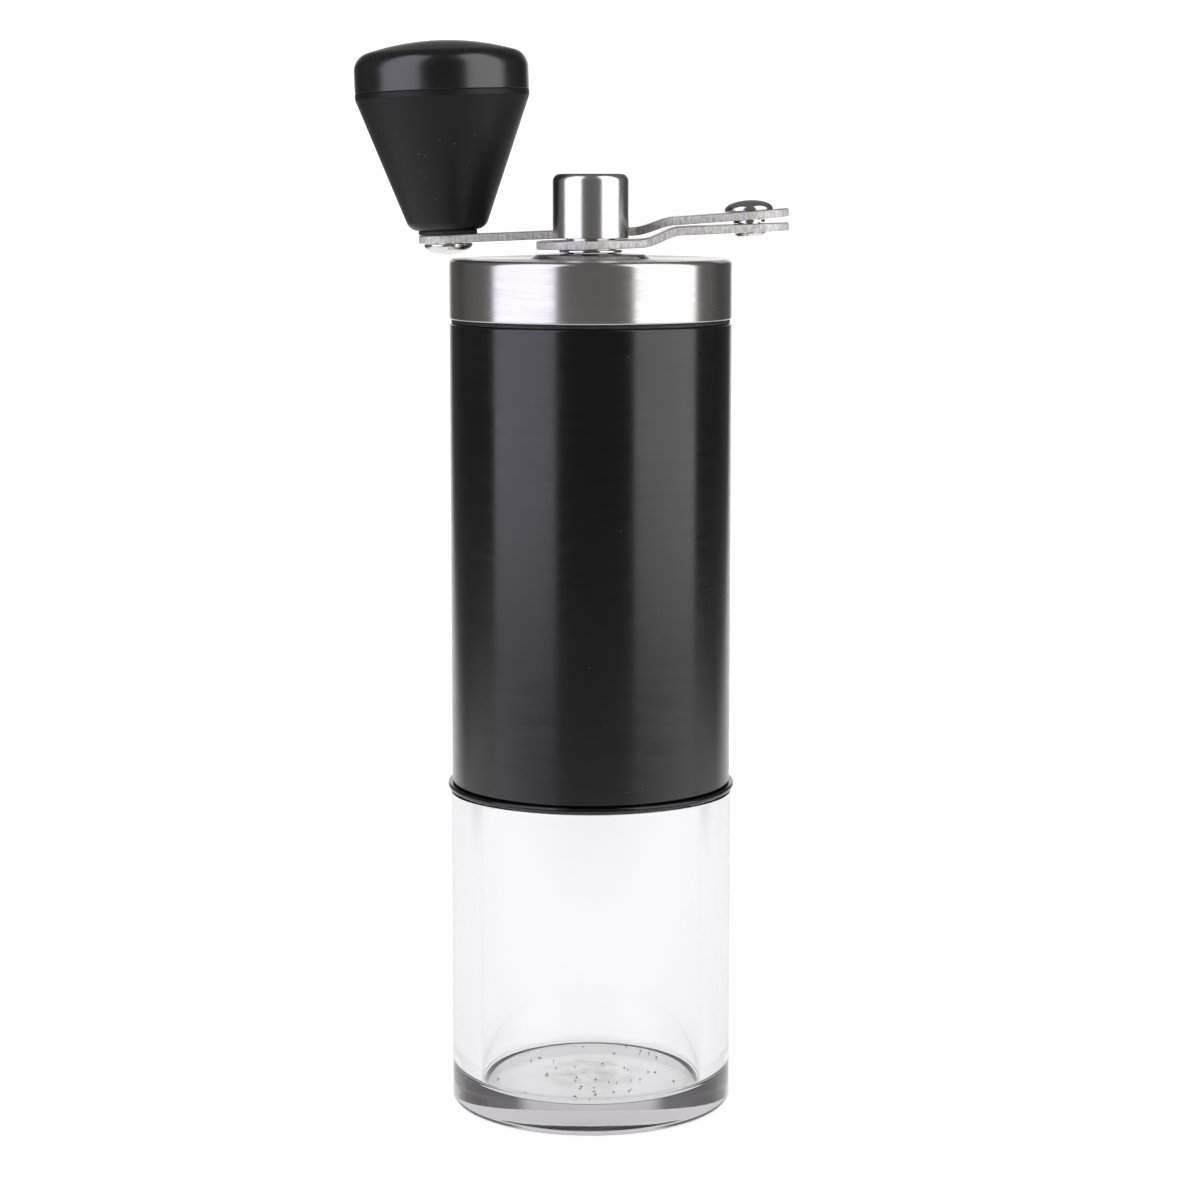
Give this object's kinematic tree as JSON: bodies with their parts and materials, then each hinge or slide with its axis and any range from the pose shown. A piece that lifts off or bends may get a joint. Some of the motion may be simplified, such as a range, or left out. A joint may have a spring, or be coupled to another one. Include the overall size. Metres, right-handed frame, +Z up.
{
  "type": "hand crank coffee grinder",
  "caption": "Slim hand coffee grinder: clear catch jar, satin black tube, brushed steel lid, folding two-piece crank with a black cone knob, and conical ceramic burrs inside.",
  "frame": {"origin": "centre of the jar's underside, where the grinder stands", "axes": "+Z up along the shaft; the folded crank's elbow is at +X and its knob at -X; the front view looks along +Y"},
  "size_m": [0.0779, 0.0538, 0.1911],
  "materials": {
    "clear_plastic": "clear, polished",
    "satin_black": "satin, brushed round the tube",
    "gloss_black": "gloss",
    "soft_black": "matte",
    "knob_black": "soft-touch matte",
    "brushed_steel": "brushed round the lid",
    "arm_steel": "polished faces, sheared edges",
    "polished_steel": "polished",
    "ceramic": "unglazed",
    "brass": "turned",
    "white_nylon": "matte",
    "silicone": "matte"
  },
  "bodies": {
    "jar": {"jar": "clear_plastic", "jar_seal": "silicone"},
    "body": {"jar_collar": "gloss_black", "body_tube": "satin_black", "burr_housing": "soft_black", "lower_bush": "brass", "upper_bracket": "polished_steel", "upper_bush": "brass", "outer_burr": "ceramic", "burr_retainer": "soft_black", "retainer_screw_1": "polished_steel", "retainer_screw_2": "polished_steel", "retainer_screw_3": "polished_steel"},
    "shaft": {"shaft": "polished_steel", "shaft_collar": "polished_steel", "thrust_washer": "white_nylon", "burr_spring": "polished_steel"},
    "burr": {"inner_burr": "ceramic", "burr_carrier": "soft_black", "spring_washer": "polished_steel", "click_ring": "polished_steel"},
    "dial": {"adjusting_nut": "soft_black"},
    "lid": {"lid_shell": "brushed_steel", "lid_insert": "soft_black", "lid_seal": "silicone"},
    "crank": {"lower_arm": "arm_steel", "drive_socket": "polished_steel", "hub_washer": "polished_steel", "elbow_washer": "polished_steel", "elbow_rivet": "polished_steel"},
    "arm": {"upper_arm": "arm_steel", "knob_pin": "polished_steel", "knob_screw": "polished_steel"},
    "knob": {"knob_grip": "knob_black", "knob_cap": "gloss_black", "knob_washer": "soft_black"}
  },
  "joints": [
    {"name": "jar_release", "type": "slide", "parent": "jar", "child": "body", "axis": [0, 0, 1], "range_m": [0, 0.03]},
    {"name": "shaft_turn", "type": "hinge", "parent": "body", "child": "shaft", "pos_m": [0, 0, 0.12], "axis": [0, 0, 1], "continuous": true},
    {"name": "burr_shift", "type": "slide", "parent": "shaft", "child": "burr", "axis": [0, 0, 1], "range_m": [-0.0008, 0.0008], "deforming": ["burr_spring"]},
    {"name": "dial_turn", "type": "hinge", "parent": "burr", "child": "dial", "pos_m": [0, 0, 0.064], "axis": [0, 0, 1], "range_deg": [-360, 360]},
    {"name": "crank_lift", "type": "slide", "parent": "shaft", "child": "crank", "axis": [0, 0, 1], "range_m": [0, 0.03]},
    {"name": "lid_lift", "type": "slide", "parent": "body", "child": "lid", "axis": [0, 0, 1], "range_m": [0, 0.03]},
    {"name": "arm_fold", "type": "hinge", "parent": "crank", "child": "arm", "pos_m": [0.0284, 0.0065, 0.1572], "axis": [-0.0558, 0, 0.9984], "range_deg": [-158, 0]},
    {"name": "knob_spin", "type": "hinge", "parent": "arm", "child": "knob", "pos_m": [-0.0258, 0.0124, 0.15665], "axis": [-0.0349, 0, 0.9994], "continuous": true}
  ],
  "couplings": [
    {"joint": "dial_turn", "follows": "burr_shift", "rad_per_m": 7854},
    {"joint": "lid_lift", "follows": "crank_lift", "ratio": 1}
  ]
}
